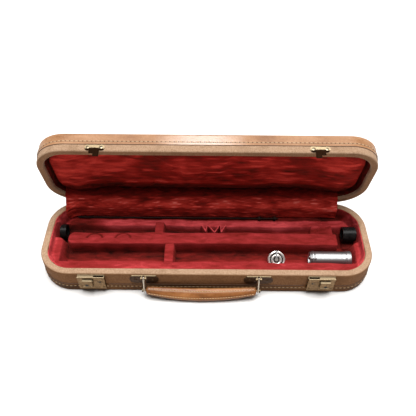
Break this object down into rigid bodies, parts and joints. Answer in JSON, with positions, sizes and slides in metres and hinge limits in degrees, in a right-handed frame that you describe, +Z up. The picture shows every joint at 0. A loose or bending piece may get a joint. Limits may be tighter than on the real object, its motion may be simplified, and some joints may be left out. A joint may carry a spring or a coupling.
{
  "type": "flute case",
  "caption": "Cloth-covered flute case with leather binding, plush-lined wells, hinged lid, sliding latches and a swinging leather handle, with its small contents.",
  "frame": {"origin": "centre of the base's flat underside", "axes": "+X along the case to the right as its front is faced, +Y from the front towards the hinges, +Z up"},
  "size_m": [0.4212, 0.1616, 0.1579],
  "materials": {
    "board": "pressed board under the covering",
    "tweed": "fine woven tan cloth, slightly soiled along the edges",
    "binding_leather": "light brown glazed leather, saddle stitched and worn",
    "grip_leather": "glossy tan leather, cracked and worn",
    "plush": "short red pile, crushed in places",
    "old_brass": "tarnished brass plating, bright on worn edges",
    "steel_wire": "dull nickel-plated wire",
    "silver_plate": "polished silver plate",
    "pad_skin": "thin pale skin over felt",
    "black_cap": "worn black hard rubber",
    "rod_black": "thin black lacquered rod"
  },
  "bodies": {
    "base": {"base_shell": "board", "base_cloth": "tweed", "base_binding": "binding_leather", "base_bottom_cloth": "tweed", "base_lining": "plush", "floor_pad": "plush", "front_lip": "plush", "centre_ridge": "plush", "rear_shelf": "plush", "well_divider": "plush", "slot_bridge_left": "plush", "slot_bridge_middle": "plush", "slot_ramp_right": "plush", "end_block_left": "plush", "end_block_right": "plush", "base_gusset": "plush", "hinge_base_leaf_left": "old_brass", "hinge_base_leaf_right": "old_brass", "hinge_pin_left": "old_brass", "hinge_pin_right": "old_brass", "hinge_base_screws": "old_brass", "latch_plate_left": "old_brass", "latch_plate_right": "old_brass", "latch_rivets": "old_brass", "handle_plate_left": "old_brass", "handle_plate_right": "old_brass", "handle_rivets": "old_brass", "handle_plate_pins": "old_brass"},
    "lid": {"lid_shell": "board", "lid_cloth": "tweed", "lid_binding": "binding_leather", "lid_top_cloth": "tweed", "lid_wall_lining": "plush", "lid_pad": "plush", "lid_gusset": "plush", "hinge_lid_leaf_left": "old_brass", "hinge_lid_leaf_right": "old_brass", "hinge_lid_screws": "old_brass", "strike_left": "old_brass", "strike_right": "old_brass", "strike_screws": "old_brass"},
    "latch_left": {"latch_button_left": "old_brass", "latch_bolt_left": "old_brass"},
    "latch_right": {"latch_button_right": "old_brass", "latch_bolt_right": "old_brass"},
    "handle_loops": {"handle_loop_left": "steel_wire", "handle_loop_right": "steel_wire"},
    "handle_grip": {"handle_grip": "grip_leather", "handle_grip_pins": "old_brass"},
    "barrel": {"barrel_tube": "silver_plate", "barrel_rings": "silver_plate", "barrel_post": "silver_plate"},
    "key": {"key_cup": "silver_plate", "key_pad": "pad_skin", "key_arm": "silver_plate"},
    "cap_right": {"tenon_cap_right": "black_cap"},
    "cap_left": {"tenon_cap_left": "black_cap"},
    "cleaning_rod": {"rod_shaft": "rod_black", "rod_beads": "rod_black"}
  },
  "joints": [
    {"name": "lid_hinge", "type": "hinge", "parent": "base", "child": "lid", "pos_m": [0, 0.059, 0.037], "axis": [-1, 0, 0], "range_deg": [-78, 25]},
    {"name": "latch_left_slide", "type": "slide", "parent": "base", "child": "latch_left", "axis": [1, 0, 0], "range_m": [0, 0.005]},
    {"name": "latch_right_slide", "type": "slide", "parent": "base", "child": "latch_right", "axis": [-1, 0, 0], "range_m": [0, 0.005]},
    {"name": "handle_swing", "type": "hinge", "parent": "base", "child": "handle_loops", "pos_m": [-0.0063, -0.063, 0.0332], "axis": [-1, 0, 0], "range_deg": [0, 120]},
    {"name": "grip_pivot", "type": "hinge", "parent": "handle_loops", "child": "handle_grip", "pos_m": [-0.0063, -0.0675, 0.01371], "axis": [-1, 0, 0], "range_deg": [0, 40]},
    {"name": "barrel_lift", "type": "slide", "parent": "base", "child": "barrel", "axis": [0, 0, 1], "range_m": [0, 0.06]},
    {"name": "key_lift", "type": "slide", "parent": "base", "child": "key", "axis": [0, 0, 1], "range_m": [0, 0.06]},
    {"name": "cap_right_lift", "type": "slide", "parent": "base", "child": "cap_right", "axis": [0, 0, 1], "range_m": [0, 0.06]},
    {"name": "cap_left_lift", "type": "slide", "parent": "base", "child": "cap_left", "axis": [0, 0, 1], "range_m": [0, 0.06]},
    {"name": "rod_lift", "type": "slide", "parent": "base", "child": "cleaning_rod", "axis": [0, 0, 1], "range_m": [0, 0.06]}
  ]
}
